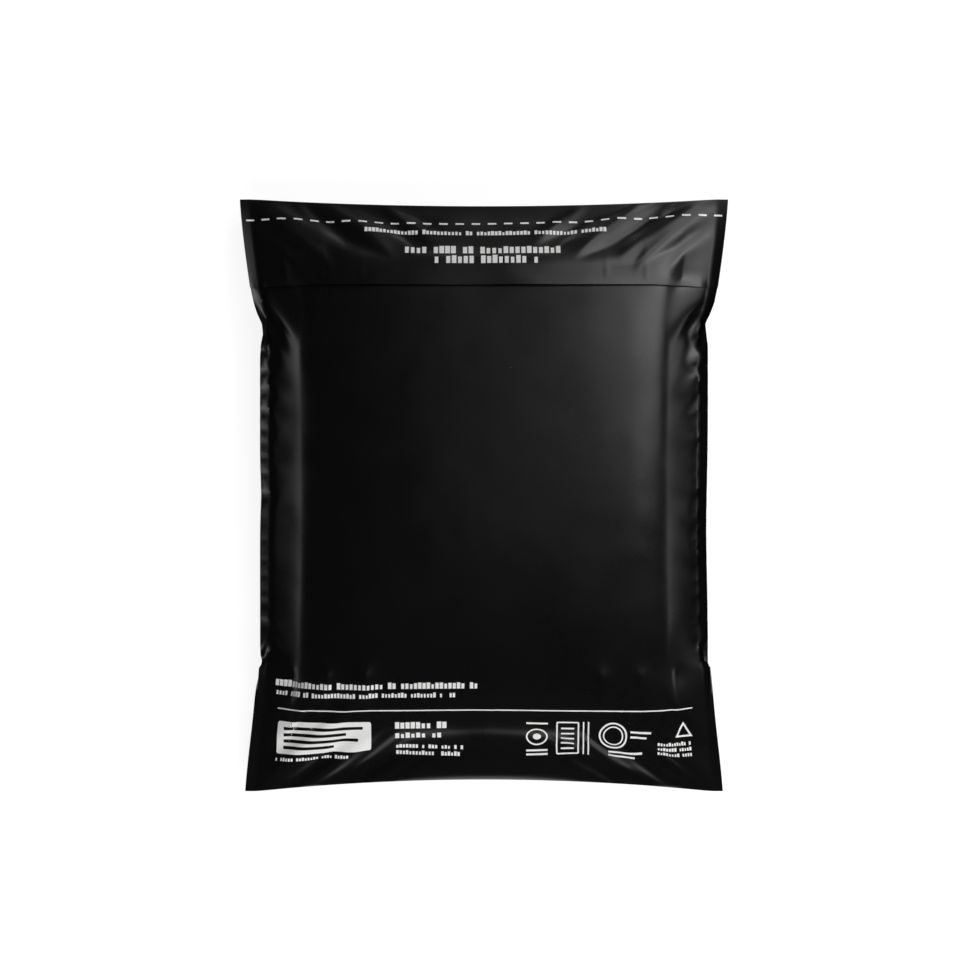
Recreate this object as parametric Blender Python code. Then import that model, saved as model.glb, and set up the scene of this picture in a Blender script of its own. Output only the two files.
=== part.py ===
"""Poly mailer bag, filled with something soft, sealed, and lying on its back.

The bag is one tube of plastic film: a fold at the bottom, a weld down each side, and at the top a
closure flap that is folded over the front and glued down. It is modelled as one closed body. Both
panels of film start as a flat grid. Each point of the grid is then moved to where the filled film
lies: drawn in at the waist, flared at the four corners, full in the middle and flat at the welds.

Metres, +Z up. The front and its flap face up, the flap end points to +Y, and the origin is on the
surface that the bag lies on, under the middle of it.
"""

import math

import bmesh
import bpy

# Outline of the filled bag, seen from above
CORNER_LENGTH = 0.372  # bottom corners to top corners
TOP_WIDTH = 0.3076
BOTTOM_WIDTH = 0.3014
WAIST_WIDTH = 0.2800
TOP_DIP = 0.0050  # how far the top fold runs in at the middle
BOTTOM_DIP = 0.0082
TOP_FLARE = 0.081  # length over which the waist widens to the top corners
TOP_FLARE_EARLY = 0.35  # from 0, where the top flare runs evenly, to 1, where it starts fast
TOP_FLARE_POWER = 0.85
BOTTOM_FLARE = 0.080
BOTTOM_FLARE_POWER = 0.9
SIDE_WELD = 0.0065  # width of the flat weld down each side

# Heights above the surface that the bag lies on
CROWN_HEIGHT = 0.054
SIDE_HEIGHT = 0.0195  # the side welds, at the waist
END_HEIGHT = 0.0150  # the top and bottom folds, at the middle
CORNER_HEIGHT = 0.0100
RIM_DROP_POWER = 3.0  # the higher, the longer the welds keep the waist's height
FILM_PAIR = 0.0008  # both films together at a weld or a fold, drawn thicker than real film

# Closure flap
FLAP_DEPTH = 0.050  # top fold to free edge, along the middle
FLAP_STEP = 0.0008  # how far the flap stands above the front film
FLAP_EDGE_RUN = 0.0003  # how far the flap's free edge leans

# How full the film is: a higher power keeps it full for longer, a lower rounding makes its end steeper
ACROSS_POWER = 2.12
ACROSS_ROUNDING = 0.51
BOTTOM_POWER = 2.80
BOTTOM_ROUNDING = 0.85
TOP_POWER = 3.19
TOP_ROUNDING = 1.15
WELD_FOOT = 0.113  # share of the half width over which the film rises evenly from the weld
WELD_FOOT_DEPTH = 0.75  # how much lower that makes the film at the weld, from 0 to 1

# The back, pressed flat by the contents: shares of the half width and half length that lie flat
BACK_FLAT_ACROSS = 0.84
BACK_FLAT_ALONG = 0.87
BACK_LIFT_POWER = 1.9  # how slowly the film leaves the surface beyond that

# Buckles of the side welds: side, place along the side, depth, half length
LEFT, RIGHT = -1, 1
WELD_BUCKLES = (
    (LEFT, 0.291, 0.0024, 0.009),
    (LEFT, 0.187, 0.0008, 0.014),
    (LEFT, 0.077, 0.0024, 0.007),
    (RIGHT, 0.294, 0.0028, 0.007),
    (RIGHT, 0.165, 0.0012, 0.040),
)
BUCKLE_TURN = 1.2  # how far the weld's edge turns up, for each metre that it is drawn in

# Folds in the front film, ridges or hollows, and hollows beside the deepest buckles of the welds:
# start and end as shares of the half width and the half length, height, half width of the fold
FOLDS = (
    ((-0.80, 0.78), (-1.04, 0.99), 0.0026, 0.0090),
    ((0.80, 0.78), (1.04, 0.99), 0.0026, 0.0090),
    ((-0.80, -0.78), (-1.03, -0.99), 0.0026, 0.0090),
    ((0.80, -0.78), (1.03, -0.99), 0.0026, 0.0090),
    ((-0.84, 0.600), (-1.02, 0.565), -0.0020, 0.0070),
    ((0.84, 0.605), (1.02, 0.580), -0.0022, 0.0070),
    ((-0.86, -0.59), (-1.02, -0.59), 0.0020, 0.0080),
    ((0.86, -0.60), (1.02, -0.60), 0.0020, 0.0080),
)

# Print on the front, laid out on the flat film
DASH_PITCH = 0.0103
DASH_LENGTH = 0.0054
DASH_THICKNESS = 0.0012
DASH_ROW_HALF = 0.1515  # middle of the bag to the end of the row
DASH_FROM_TOP = 0.0105  # top fold to the row
RULE_THICKNESS = 0.0014
RULE_HALF = 0.131
RULE_FROM_BOTTOM = 0.0535

# Fineness of the grid
COLUMNS = 44
ROWS_BELOW_FLAP = 48
ROWS_ON_FLAP = 9
RIM_CROWDING = 0.38  # from 0, even columns, towards 0.5, columns crowded at the welds

FILM_BLACK = (0.0035, 0.0035, 0.0038, 1.0)
INK_WHITE = (0.78, 0.78, 0.78, 1.0)
FILM_ROUGHNESS = 0.32
INK_ROUGHNESS = 0.45
SMOOTH_BELOW = math.radians(35)

MID_LENGTH = CORNER_LENGTH - TOP_DIP - BOTTOM_DIP
FLAP_ROW = 1 - FLAP_DEPTH / MID_LENGTH


def clear_scene():
    for thing in list(bpy.data.objects):
        bpy.data.objects.remove(thing)


def buckle(y, side):
    """How far a side weld is drawn in at y, which is counted from the bottom corners."""
    found = 0.0
    for which, place, depth, half_length in WELD_BUCKLES:
        if which == side:
            found += depth * math.exp(-(((y - place) / half_length) ** 2))
    return found


def half_width(y, side):
    """Half the outline's width at y: the waist, widening to both ends, less the buckles."""
    up = min(max((y - CORNER_LENGTH + TOP_FLARE) / TOP_FLARE, 0.0), 1.0)
    down = min(max((BOTTOM_FLARE - y) / BOTTOM_FLARE, 0.0), 1.0)
    early = (1 + TOP_FLARE_EARLY) * up - TOP_FLARE_EARLY * up**2
    top = (TOP_WIDTH - WAIST_WIDTH) / 2 * early**TOP_FLARE_POWER
    bottom = (BOTTOM_WIDTH - WAIST_WIDTH) / 2 * down**BOTTOM_FLARE_POWER
    return WAIST_WIDTH / 2 + top + bottom - buckle(y, side)


def column_places():
    """(place across, share of the weld) of each column: the weld's edge, its inner line, the film."""
    inner = []
    for i in range(COLUMNS + 1):
        even = 2 * i / COLUMNS - 1
        inner.append((even * (1 + RIM_CROWDING - RIM_CROWDING * even**2), 0.0))
    return [(-1.0, 1.0), *inner, (1.0, 1.0)]


def row_places():
    """(place along, share of the flap's step) of each row, with two rows at the flap's free edge."""
    below = [(FLAP_ROW * j / ROWS_BELOW_FLAP, 0.0) for j in range(ROWS_BELOW_FLAP + 1)]
    start = FLAP_ROW + FLAP_EDGE_RUN / MID_LENGTH
    flap = [(start + (1 - start) * j / ROWS_ON_FLAP, 1.0) for j in range(ROWS_ON_FLAP + 1)]
    return below + flap


def rim_height(across, along):
    """Height of the plane that both films meet in: high at the waist, low at the corners."""
    end = abs(along) ** RIM_DROP_POWER
    waist = SIDE_HEIGHT * (1 - end) + CORNER_HEIGHT * end
    return waist + (END_HEIGHT - CORNER_HEIGHT) * (1 - across**2) * end


def front_fullness(across, along):
    """Share of the way up from the rim to the crown that the front film has."""
    off = min(abs(across), 1.0)
    side = (1 - off**ACROSS_POWER) ** ACROSS_ROUNDING
    foot = 1 - WELD_FOOT_DEPTH * math.exp(-(((1 - off) / WELD_FOOT) ** 2))
    if along < 0:
        return side * foot * (1 - abs(along) ** BOTTOM_POWER) ** BOTTOM_ROUNDING
    return side * foot * (1 - along**TOP_POWER) ** TOP_ROUNDING


def back_lift(across, along):
    """Share of the rim's height that the back film has: 0 on its flat area, 1 at the rim."""
    side = max(min(abs(across), 1.0) - BACK_FLAT_ACROSS, 0.0) / (1 - BACK_FLAT_ACROSS)
    end = max(abs(along) - BACK_FLAT_ALONG, 0.0) / (1 - BACK_FLAT_ALONG)
    return 1 - (1 - side**BACK_LIFT_POWER) * (1 - end**BACK_LIFT_POWER)


def fold_height(x, y):
    """Height of the film's folds at a point, each rising and dying away along its line."""
    total = 0.0
    for (x0, y0), (x1, y1), height, half in FOLDS:
        ax, ay = x0 * WAIST_WIDTH / 2, (1 + y0) * CORNER_LENGTH / 2
        dx, dy = x1 * WAIST_WIDTH / 2 - ax, (1 + y1) * CORNER_LENGTH / 2 - ay
        length = math.hypot(dx, dy)
        along = ((x - ax) * dx + (y - ay) * dy) / length**2
        if 0 < along < 1:
            off = ((x - ax) * dy - (y - ay) * dx) / length
            total += height * math.sin(math.pi * along) * math.exp(-((off / half) ** 2))
    return total


def film_point(column, row, front):
    """Where the filled film puts one point of the flat grid."""
    across, weld = column
    place, step = row
    side = LEFT if across < 0 else RIGHT
    bottom = BOTTOM_DIP * (1 - across**2)
    top = CORNER_LENGTH - TOP_DIP * (1 - across**2)
    y = bottom + place * (top - bottom)
    x = across * (half_width(y, side) - SIDE_WELD) + side * weld * SIDE_WELD
    along = 2 * place - 1
    rim = rim_height(across, along) + BUCKLE_TURN * weld * buckle(y, side)
    if front:
        z = rim + FILM_PAIR / 2
        fullness = front_fullness(across, along)
        z += (CROWN_HEIGHT - z) * fullness
        z += fold_height(x, y) * (1 - weld) + step * FLAP_STEP
    else:
        z = (rim - FILM_PAIR / 2) * back_lift(across, along)
    return x, y - CORNER_LENGTH / 2, z


def flat_point(column, row):
    """The same point on the flat film, in metres from its middle and its bottom fold."""
    across, weld = column
    side = LEFT if across < 0 else RIGHT
    x = across * (TOP_WIDTH / 2 - SIDE_WELD) + side * weld * SIDE_WELD
    return x, row[0] * CORNER_LENGTH


def widen_flat_faces(bm, back):
    """Joins the faces of each row of the back's flat area, which needs no points inside it."""
    flat = {vert for vert in back if vert.co.z == 0}
    inner = []
    for edge in bm.edges:
        around = {vert for face in edge.link_faces for vert in face.verts}
        run = edge.verts[1].co - edge.verts[0].co
        if len(edge.link_faces) == 2 and flat.issuperset(around) and abs(run.y) > abs(run.x):
            inner.append(edge)
    bmesh.ops.dissolve_edges(bm, edges=inner, use_verts=True)
    many_sided = [face for face in bm.faces if len(face.verts) > 4]
    bmesh.ops.triangulate(bm, faces=many_sided, ngon_method="BEAUTY")


def build_film():
    """Two grids of film, joined at their rims, each point moved to its place on the filled bag."""
    columns, rows = column_places(), row_places()
    bm = bmesh.new()
    bmesh.ops.create_grid(bm, x_segments=len(columns) - 1, y_segments=len(rows) - 1, size=1.0)
    back = list(bm.verts)
    copied = bmesh.ops.extrude_face_region(bm, geom=list(bm.faces), use_keep_orig=True)
    front = [item for item in copied["geom"] if isinstance(item, bmesh.types.BMVert)]
    flat = {}
    for points, is_front in ((back, False), (front, True)):
        for vert in points:
            column = columns[round((vert.co.x + 1) / 2 * (len(columns) - 1))]
            row = rows[round((vert.co.y + 1) / 2 * (len(rows) - 1))]
            flat[vert] = flat_point(column, row)
            vert.co = film_point(column, row, is_front)
    on_film = bm.loops.layers.uv.new("flat_film")
    for face in bm.faces:
        for loop in face.loops:
            loop[on_film].uv = flat[loop.vert]
    widen_flat_faces(bm, back)
    bmesh.ops.recalc_face_normals(bm, faces=bm.faces)
    mesh = bpy.data.meshes.new("mailer_bag")
    bm.to_mesh(mesh)
    bm.free()
    mesh.shade_smooth()
    mesh.set_sharp_from_angle(angle=SMOOTH_BELOW)
    return mesh


def math_node(tree, operation, first, second):
    """Adds a Math node whose inputs are sockets or numbers, and returns its output."""
    node = tree.nodes.new("ShaderNodeMath")
    node.operation = operation
    for socket, value in zip(node.inputs, (first, second)):
        if isinstance(value, (int, float)):
            socket.default_value = value
        else:
            tree.links.new(value, socket)
    return node.outputs["Value"]


def band(tree, coordinate, middle, width):
    """1 where the coordinate lies within half the width of the middle, else 0."""
    off = math_node(tree, "ABSOLUTE", math_node(tree, "SUBTRACT", coordinate, middle), 0.0)
    return math_node(tree, "LESS_THAN", off, width / 2)


def film_material():
    """Black polyethylene with a white dashed cut line on the flap and a white rule near the bottom."""
    material = bpy.data.materials.new("black_film")
    material.use_nodes = True
    tree = material.node_tree
    shader = tree.nodes["Principled BSDF"]
    place = tree.nodes.new("ShaderNodeUVMap")
    place.uv_map = "flat_film"
    split = tree.nodes.new("ShaderNodeSeparateXYZ")
    tree.links.new(place.outputs["UV"], split.inputs["Vector"])
    x, y = split.outputs["X"], split.outputs["Y"]
    wrapped = math_node(tree, "FLOORED_MODULO", x, DASH_PITCH)
    dashes = band(tree, wrapped, DASH_PITCH / 2, DASH_LENGTH)
    row = band(tree, y, CORNER_LENGTH - DASH_FROM_TOP, DASH_THICKNESS)
    cut_line = math_node(tree, "MULTIPLY", math_node(tree, "MULTIPLY", dashes, row),
                         band(tree, x, 0.0, 2 * DASH_ROW_HALF))
    rule = math_node(tree, "MULTIPLY", band(tree, y, RULE_FROM_BOTTOM, RULE_THICKNESS),
                     band(tree, x, 0.0, 2 * RULE_HALF))
    ink = math_node(tree, "MAXIMUM", cut_line, rule)
    mix = tree.nodes.new("ShaderNodeMix")
    mix.data_type = "RGBA"
    tree.links.new(ink, mix.inputs["Factor"])
    mix.inputs["A"].default_value = FILM_BLACK
    mix.inputs["B"].default_value = INK_WHITE
    tree.links.new(mix.outputs["Result"], shader.inputs["Base Color"])
    spread = math_node(tree, "MULTIPLY", ink, INK_ROUGHNESS - FILM_ROUGHNESS)
    tree.links.new(math_node(tree, "ADD", spread, FILM_ROUGHNESS), shader.inputs["Roughness"])
    shader.inputs["Metallic"].default_value = 0.0
    return material


def main():
    clear_scene()
    parts = bpy.data.collections.new("poly_mailer_bag")
    bpy.context.scene.collection.children.link(parts)
    mesh = build_film()
    mesh.materials.append(film_material())
    parts.objects.link(bpy.data.objects.new("mailer_bag", mesh))


main()
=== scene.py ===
# %% [markdown]
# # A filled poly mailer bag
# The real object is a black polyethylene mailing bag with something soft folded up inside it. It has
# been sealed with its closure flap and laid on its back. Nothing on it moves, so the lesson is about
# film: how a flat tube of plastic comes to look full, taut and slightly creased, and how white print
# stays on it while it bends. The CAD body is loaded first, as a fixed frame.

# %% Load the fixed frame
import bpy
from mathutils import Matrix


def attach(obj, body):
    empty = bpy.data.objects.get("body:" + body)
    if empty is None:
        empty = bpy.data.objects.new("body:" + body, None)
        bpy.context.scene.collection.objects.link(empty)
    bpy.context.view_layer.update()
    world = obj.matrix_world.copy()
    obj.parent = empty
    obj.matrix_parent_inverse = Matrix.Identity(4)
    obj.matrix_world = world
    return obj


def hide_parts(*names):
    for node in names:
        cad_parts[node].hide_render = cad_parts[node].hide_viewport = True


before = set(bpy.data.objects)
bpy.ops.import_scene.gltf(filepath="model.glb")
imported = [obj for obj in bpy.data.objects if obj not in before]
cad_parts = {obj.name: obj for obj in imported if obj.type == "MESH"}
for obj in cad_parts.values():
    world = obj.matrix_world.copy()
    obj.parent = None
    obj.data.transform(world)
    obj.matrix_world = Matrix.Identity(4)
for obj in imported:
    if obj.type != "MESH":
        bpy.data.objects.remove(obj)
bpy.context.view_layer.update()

# %% Modules
import math
import time

import bmesh
import bpy
import numpy as np
from mathutils import Vector

# %% [markdown]
# ## Small helpers
# A colour picker shows sRGB values, but a shader adds up light, so it needs linear ones. One function
# turns the one into the other. Node trees are made in code too. A second function adds any node, with
# its settings and with what goes into its inputs: a plain value, or the output of another node. A third
# is short for the node that is needed most often, which does one sum.

# %% Colour and node helpers
def linear(hex_colour):
    """An sRGB hex colour as the linear RGBA that a shader needs."""
    shares = [int(hex_colour[i:i + 2], 16) / 255 for i in (1, 3, 5)]
    return [s / 12.92 if s <= 0.04045 else ((s + 0.055) / 1.055) ** 2.4 for s in shares] + [1.0]


def add_node(tree, kind, inputs=None, **settings):
    """Adds a node to a tree. Its inputs are named or numbered, and take values or sockets."""
    node = tree.nodes.new(kind)
    for name, value in settings.items():
        setattr(node, name, value)
    for name, value in (inputs or {}).items():
        if isinstance(value, bpy.types.NodeSocket):
            tree.links.new(value, node.inputs[name])
        else:
            node.inputs[name].default_value = value
    return node


def calculate(tree, operation, one, other):
    """The output of a Math node that works on two values or sockets."""
    return add_node(tree, "ShaderNodeMath", {0: one, 1: other}, operation=operation).outputs[0]


print("Mid grey #808080 in linear light:", [round(value, 3) for value in linear("#808080")])

# %% [markdown]
# ## The camera
# The photograph looks straight down on the bag from well above it. A long lens keeps the bag's sides
# nearly upright in the picture. The camera's height follows from the lens and from how wide a strip of
# the floor the picture shows, so the height is worked out here instead of being tried out.

# %% Camera, looking straight down
LENS_MM = 85
SENSOR_MM = 36
FRAME_WIDTH = 0.6017  # metres that the picture spans, at the height of the bag's rim
RIM_HEIGHT = 0.015
BAG_IN_FRAME = (-0.0025, 0.0099)  # where the camera stands, seen from the middle of the bag

camera = bpy.data.objects.new("camera", bpy.data.cameras.new("camera"))
camera.data.lens = LENS_MM
camera.data.sensor_width = SENSOR_MM
camera_height = RIM_HEIGHT + FRAME_WIDTH * LENS_MM / SENSOR_MM
camera.location = (*BAG_IN_FRAME, camera_height)
bpy.context.collection.objects.link(camera)
bpy.context.scene.camera = camera
bpy.context.scene.view_settings.view_transform = "Standard"
print("Camera height:", round(camera_height, 3), "m")

# %% [markdown]
# ## A white floor that keeps a shadow
# A product photograph stands on paper that is lit until it is white. Here the paper is pale grey and
# gives off some light of its own, but only to rays that see it: from the camera, in a reflection, or
# through something clear. Light that it sends on to the bag stays plain, and the bag still leaves a
# soft shadow on it, because the pale grey part still needs the lamps.

# %% Floor
FLOOR_SIZE = 40
FLOOR_GLOW = 0.84
PAPER_GREY = linear("#A4A4A4")
FLOOR_DEPTH = 0.0003  # just under the bag, so that the two never share a plane

paper = bpy.data.materials.new("studio_paper")
paper.use_nodes = True
tree = paper.node_tree
tree.nodes.clear()
ray = add_node(tree, "ShaderNodeLightPath")
seen = calculate(tree, "MAXIMUM", ray.outputs["Is Camera Ray"], ray.outputs["Is Glossy Ray"])
seen = calculate(tree, "MAXIMUM", seen, ray.outputs["Is Transmission Ray"])
glow = calculate(tree, "MULTIPLY", seen, FLOOR_GLOW)
glowing = add_node(tree, "ShaderNodeEmission", {"Strength": glow})
matte = add_node(tree, "ShaderNodeBsdfDiffuse", {"Color": PAPER_GREY})
both = add_node(tree, "ShaderNodeAddShader", {0: glowing.outputs[0], 1: matte.outputs[0]})
add_node(tree, "ShaderNodeOutputMaterial", {"Surface": both.outputs[0]})

bpy.ops.mesh.primitive_plane_add(size=FLOOR_SIZE, location=(0, 0, -FLOOR_DEPTH))
floor = bpy.context.object
floor.name = "floor"
floor.data.materials.append(paper)
print("Floor:", FLOOR_SIZE, "m across,", "glow", FLOOR_GLOW)

# %% [markdown]
# ## Soft boxes and a dim room
# Black gloss is lit by what it reflects. Its flat middle mirrors the ceiling, where two faint panels
# hang to the right, so it goes slowly from black on the left to dark grey on the right. Two soft boxes
# stand behind the top right corner. Only film that tilts that way catches them, which gives the pale
# patch on the flap and the streak down the right side. The last soft box stands in front and lights
# the white print. Gloss doesn't show that one, because it would be a bright arch along the bottom.

# %% Lamps and world
ROOM_LIGHT = 0.025


def soft_box(name, place, aim, width, height, watts, mirrored=True):
    """A rectangular area lamp that faces a point. Gloss shows it only if it is mirrored."""
    lamp = bpy.data.lights.new(name, "AREA")
    lamp.shape = "RECTANGLE"
    lamp.size, lamp.size_y = width, height
    lamp.energy = watts
    thing = bpy.data.objects.new(name, lamp)
    thing.location = place
    thing.rotation_euler = (Vector(aim) - Vector(place)).to_track_quat("-Z", "Y").to_euler()
    thing.visible_glossy = mirrored
    bpy.context.collection.objects.link(thing)


# Each lamp's place and the point it faces, then its width and height in metres, and its watts
soft_box("overhead_panel", (0.85, 0.75, 2.2), (0.85, 0.75, 0), 1.9, 2.2, 3.0)
soft_box("overhead_glow", (1.35, 1.15, 2.1), (1.10, 0.90, 0), 1.1, 1.5, 4.5)
soft_box("top_soft_box", (0.78, 0.98, 0.62), (0.08, 0.10, 0), 1.25, 0.75, 8.5)
soft_box("right_soft_box", (0.98, 0.40, 0.80), (0.08, 0.08, 0), 0.75, 0.60, 2.6)
soft_box("front_soft_box", (0.10, -1.05, 0.75), (0.05, -0.1, 0), 1.6, 0.6, 13, mirrored=False)
room = bpy.data.worlds.new("dim_room")
room.use_nodes = True
room.node_tree.nodes["Background"].inputs["Color"].default_value = (1, 1, 1, 1)
room.node_tree.nodes["Background"].inputs["Strength"].default_value = ROOM_LIGHT
bpy.context.scene.world = room

# %% [markdown]
# ## The bag before it is filled
# Empty, the bag is two flat panels of film, one on the other, welded together down both sides and
# closed at both ends. Each panel is a grid of points here, and both grids lie in one array that is
# indexed by panel, row and column. The weld is a strip in which the two panels share their points.
# A filled bag also has gathers along its rim that are smaller than the cells of the grid. To stand for
# them, the film is taken in: to shares of its width that change along the bag, and to shares of its
# length that change across it.

# %% Flat film
FILM_WIDTH = 0.310
FILM_LENGTH = 0.3760
# Places along the bag, from its middle, and the share of the film's width that is left there
TAKEN_IN = ((-0.187, -0.169, -0.150, -0.105, 0.105, 0.131, 0.150, 0.187),
            (0.964, 0.959, 0.950, 0.946, 0.946, 0.959, 0.970, 0.986))
# Places across the bag, from its middle, and the share of the film's length that is left there
TAKEN_UP = ((-0.155, -0.110, 0.110, 0.155), (1.0, 0.983, 0.983, 1.0))
WELD_WIDTH = 0.0065
COLUMNS, ROWS = 48, 58  # cells across and along the coarse grid
FRONT, BACK = 0, 1
START_HEIGHT = 0.0205
UNEVENNESS = 0.002
ROUNDING = 1e-6  # so that a point just on a limit counts as inside it


def flat_film(columns, rows, height, seed):
    """Both panels, laid flat at a height, with a little seeded unevenness so that they can buckle."""
    across = np.linspace(-FILM_WIDTH / 2, FILM_WIDTH / 2, columns + 1)
    along = np.linspace(-FILM_LENGTH / 2, FILM_LENGTH / 2, rows + 1)
    film = np.zeros((2, rows + 1, columns + 1, 3))
    film[..., 0], film[..., 1] = np.meshgrid(across, along)
    uneven = np.random.default_rng(seed)
    film[FRONT, ..., 2] = height + UNEVENNESS * (1 + uneven.random((rows + 1, columns + 1)))
    film[BACK, ..., 2] = height - UNEVENNESS * uneven.random((rows + 1, columns + 1))
    return film


def welded(film):
    """True at the points that the two panels share: the side welds, the bottom fold and the top fold."""
    rows, columns = film.shape[1:3]
    from_middle = np.abs(np.linspace(-FILM_WIDTH / 2, FILM_WIDTH / 2, columns))
    shared = np.zeros((rows, columns), bool)
    shared[:, from_middle > FILM_WIDTH / 2 - WELD_WIDTH - ROUNDING] = True
    shared[[0, -1]] = True
    return shared


flat = flat_film(COLUMNS, ROWS, START_HEIGHT, seed=3)
print("Coarse film:", flat.shape[1:3], "points a panel,", int(welded(flat).sum()), "of them shared")

# %% [markdown]
# ## Where the rim of the film goes
# A filled bag is narrower than a flat one, and its four corners flare out. The CAD body already has
# that outline. Its outermost points on each side are read here, with their heights, so that the film's
# rim can be led to them. The film between them is left to find its own shape.

# %% Read the rim of the CAD body
cad = np.array([vertex.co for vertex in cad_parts["mailer_bag"].data.vertices])
cad = np.unique(cad.round(6), axis=0)
RIM_BAND = 0.022  # a side's outermost points are all within this of its farthest one
SAME_PLACE = 1e-5  # points nearer than this, seen from above, count as one


def rim_line(run, out, sign, reach=0.003):
    """The outermost CAD points of one side: places along it, how far out they are, and how high."""
    edge = sign * cad[:, out] > cad[:, out].max() - RIM_BAND
    near = cad[edge]
    near = near[np.argsort(near[:, run])]
    kept = []
    for point in near:
        window = near[np.abs(near[:, run] - point[run]) < reach]
        if sign * point[out] >= (sign * window[:, out]).max() - ROUNDING:
            same = np.abs(window - point)[:, [run, out]].max(axis=1) < SAME_PLACE
            kept.append(window[same].mean(axis=0))
    kept = np.array(kept)
    return kept[:, run], kept[:, out], kept[:, 2]


ACROSS, ALONG = 0, 1
rim = {"left": rim_line(ALONG, ACROSS, -1), "right": rim_line(ALONG, ACROSS, 1),
       "bottom": rim_line(ACROSS, ALONG, -1), "top": rim_line(ACROSS, ALONG, 1)}
for side, (place, out, height) in rim.items():
    print(f"{side}: {len(place)} points, {out.min():.4f} to {out.max():.4f} m out,"
          f" {height.min():.4f} to {height.max():.4f} m up")

# %% [markdown]
# ## How film moves
# Film hardly stretches, and it resists a sharp bend a little. That is all its behaviour needs: spans
# between neighbouring points keep their length, and longer spans push back when they are shortened.
# At the side welds no long span pushes back, so the film folds sharply there, as on the real bag. Its
# ends are stiffer across, because the film is folded at the bottom and glued double at the top.
# Blender's Cloth works in the same way. Here the sums are done with numpy on the whole grid at once,
# because the welds, the contents and the outline can then all be held exactly.

# %% Spans that keep their length
STRETCHED, SQUEEZED = 1.0, 0.8  # share of its error that a long or a short span loses in one round
SHEARED = (0.6, 0.42)  # the same for the diagonals of the grid's cells
STIFF_ENDS = (0.080, 0.055)  # length of film at the bottom and at the top that is stiffer across
STIFF_SPANS = (0.026, 0.052)  # how far apart the points are that push back there
STIFF_SHARE = 0.7
NOT_ZERO = 1e-12  # is added to what a sum divides by


def tug(film, one, other, length, stretched, squeezed):
    """Moves both ends of many spans so that each span's length comes nearer to what it should be."""
    span = film[other] - film[one]
    now = np.sqrt((span * span).sum(-1, keepdims=True)) + NOT_ZERO
    off = (now - length) / now
    move = 0.5 * np.where(off > 0, stretched, squeezed) * off * span
    film[one] += move
    film[other] -= move


def tug_lines(film, axis, reach, length, stretched, squeezed):
    """Tugs at all spans of some reach along an axis, in groups that share no point."""
    count = film.shape[axis]
    for start in range(2 * reach):
        firsts = range(start, count - reach, 2 * reach)
        if len(firsts):
            one = [slice(None)] * 3
            other = [slice(None)] * 3
            one[axis] = slice(start, firsts[-1] + 1, 2 * reach)
            other[axis] = slice(start + reach, firsts[-1] + reach + 1, 2 * reach)
            tug(film, tuple(one), tuple(other), length, stretched, squeezed)


def keep_lengths(film, bends):
    """One round over the grid's own spans, its diagonals, and the long spans that resist bending."""
    rows, columns = film.shape[1] - 1, film.shape[2] - 1
    along = np.linspace(-FILM_LENGTH / 2, FILM_LENGTH / 2, rows + 1)
    across = np.linspace(-FILM_WIDTH / 2, FILM_WIDTH / 2, columns + 1)
    dx = FILM_WIDTH / columns * np.interp(along, *TAKEN_IN)[:, None, None]
    dy = FILM_LENGTH / rows * np.interp(across, *TAKEN_UP)[:, None]
    tug_lines(film, 2, 1, dx, STRETCHED, SQUEEZED)
    tug_lines(film, 1, 1, dy, STRETCHED, SQUEEZED)
    for start in (0, 1):
        pairs = (rows + 1 - start) // 2
        low = slice(start, start + 2 * pairs, 2)
        high = slice(start + 1, start + 1 + 2 * pairs, 2)
        for west, east in ((slice(0, -1), slice(1, None)), (slice(1, None), slice(0, -1))):
            slant = np.hypot(dx[low], dy[west])
            tug(film, (slice(None), low, west), (slice(None), high, east), slant, *SHEARED)
    weld = round(WELD_WIDTH / (FILM_WIDTH / columns))
    for reach, stiffness in bends:
        tug_lines(film[:, :, weld:-weld], 2, reach, reach * dx, 0.0, stiffness)
        tug_lines(film, 1, reach, reach * dy, 0.0, stiffness)
    bottom_rows, top_rows = (round(length / FILM_LENGTH * rows) for length in STIFF_ENDS)
    for zone in (slice(None, bottom_rows), slice(-top_rows, None)):
        for length in STIFF_SPANS:
            reach = round(length / (FILM_WIDTH / columns))
            tug_lines(film[:, zone], 2, reach, reach * dx[zone], 0.0, STIFF_SHARE)


print("In one round, a span that is too long loses", STRETCHED, "of its error, a short one", SQUEEZED)

# %% [markdown]
# ## What the film lies on
# Three things stop the film. The soft contents are a rounded block with a flatter underside. Their
# height is one curve across times one curve along, and a point inside is pushed out the shortest way.
# The surface that the bag lies on stops the film at height zero. The two panels can't pass through
# each other, and at the welds they are one.

# %% Contents, table and the other panel
CONTENTS_MIDDLE = (0, 0.0016, 0.0205)  # the last is the height of the contents' widest line
CONTENTS_HALF = np.array((0.1190, 0.1520))  # half width and half length
CONTENTS_UP, CONTENTS_DOWN = 0.0335, 0.0205
CONTENTS_ROLL = np.array((2.4, 1.9))  # how long the contents stay full towards the sides and the ends
CONTENTS_TOP, CONTENTS_UNDER = 2.4, 5.0  # squareness over the top and underneath
LONGEST_PUSH = 0.002
THINNEST_GAP = 0.0004  # between the panels


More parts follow.
